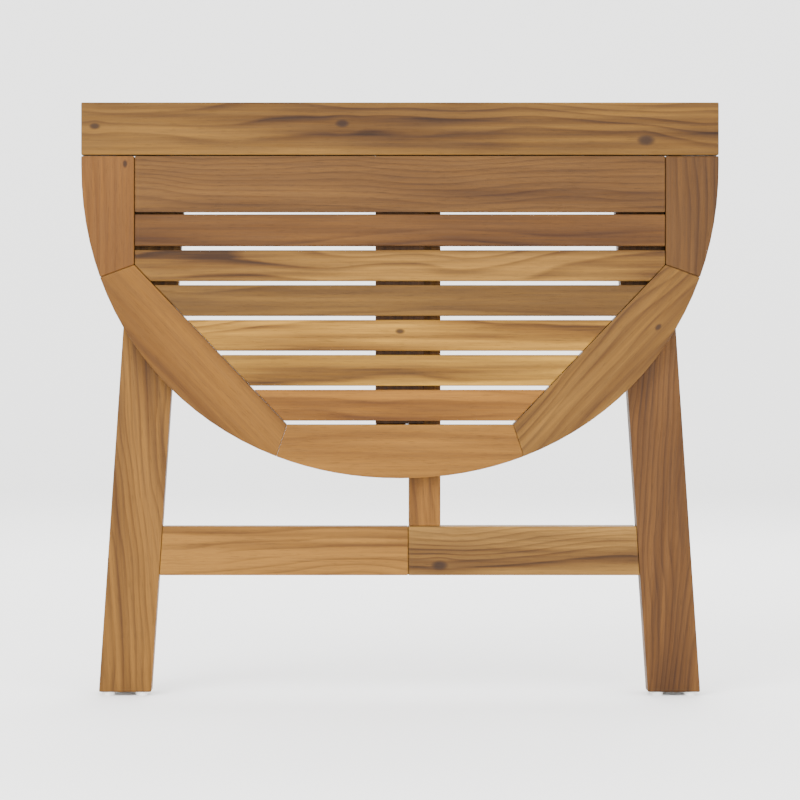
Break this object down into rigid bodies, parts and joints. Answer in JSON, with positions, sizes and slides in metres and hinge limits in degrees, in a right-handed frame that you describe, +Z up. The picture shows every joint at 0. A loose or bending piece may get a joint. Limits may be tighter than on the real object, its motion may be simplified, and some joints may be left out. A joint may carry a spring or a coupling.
{
  "type": "folding table",
  "caption": "Half-round slatted wooden folding table, shown folded: the top tilts up on hinges, the rear leg frame swings back and an arm carries the top.",
  "frame": {"origin": "on the floor, below the middle of the folded table's box", "axes": "+X right, +Y back, +Z up; the folded top faces -Y"},
  "size_m": [0.84, 0.083, 0.785],
  "materials": {
    "top_wood": "oiled, golden to reddish brown, each board its own tone",
    "frame_wood": "oiled, golden to dark reddish brown",
    "steel": "zinc-plated",
    "glide_plastic": "white moulded"
  },
  "bodies": {
    "front_frame": {"arm_pin": "steel", "cap_rail": "frame_wood", "front_glide_left_inner": "glide_plastic", "front_glide_left_outer": "glide_plastic", "front_glide_right_inner": "glide_plastic", "front_glide_right_outer": "glide_plastic", "front_leg_left": "frame_wood", "front_leg_right": "frame_wood", "hinge_leaf_fixed_left": "steel", "hinge_leaf_fixed_right": "steel", "hinge_pin_left": "steel", "hinge_pin_right": "steel", "lower_rail_left": "frame_wood", "lower_rail_right": "frame_wood", "pivot_block_left": "frame_wood", "pivot_block_right": "frame_wood", "pivot_pin_left": "steel", "pivot_pin_right": "steel", "post": "frame_wood", "upper_rail": "frame_wood"},
    "tabletop": {"back_board": "top_wood", "batten": "top_wood", "hinge_leaf_moving_left": "steel", "hinge_leaf_moving_right": "steel", "rim_diagonal_left": "top_wood", "rim_diagonal_right": "top_wood", "rim_front": "top_wood", "rim_side_left": "top_wood", "rim_side_right": "top_wood", "slat_1": "top_wood", "slat_2": "top_wood", "slat_3": "top_wood", "slat_4": "top_wood", "slat_5": "top_wood", "slat_6": "top_wood", "slat_7": "top_wood"},
    "rear_frame": {"rear_glide_left_inner": "glide_plastic", "rear_glide_left_outer": "glide_plastic", "rear_glide_right_inner": "glide_plastic", "rear_glide_right_outer": "glide_plastic", "rear_leg_left": "frame_wood", "rear_leg_right": "frame_wood", "rear_lower_rail": "frame_wood", "rear_upper_rail": "frame_wood"},
    "support_arm": {"support_arm": "frame_wood"}
  },
  "joints": [
    {"name": "top_tilt", "type": "hinge", "parent": "front_frame", "child": "tabletop", "pos_m": [0, -0.017, 0.715], "axis": [-1, 0, 0], "range_deg": [0, 80]},
    {"name": "rear_swing", "type": "hinge", "parent": "front_frame", "child": "rear_frame", "pos_m": [0, 0.0275, 0.672], "axis": [1, 0, 0], "range_deg": [0, 20]},
    {"name": "arm_swing", "type": "hinge", "parent": "front_frame", "child": "support_arm", "pos_m": [0, -0.0055, 0.569], "axis": [-1, 0, 0], "range_deg": [0, 120]}
  ],
  "couplings": [
    {"joint": "arm_swing", "follows": "top_tilt", "ratio": 1.5}
  ]
}
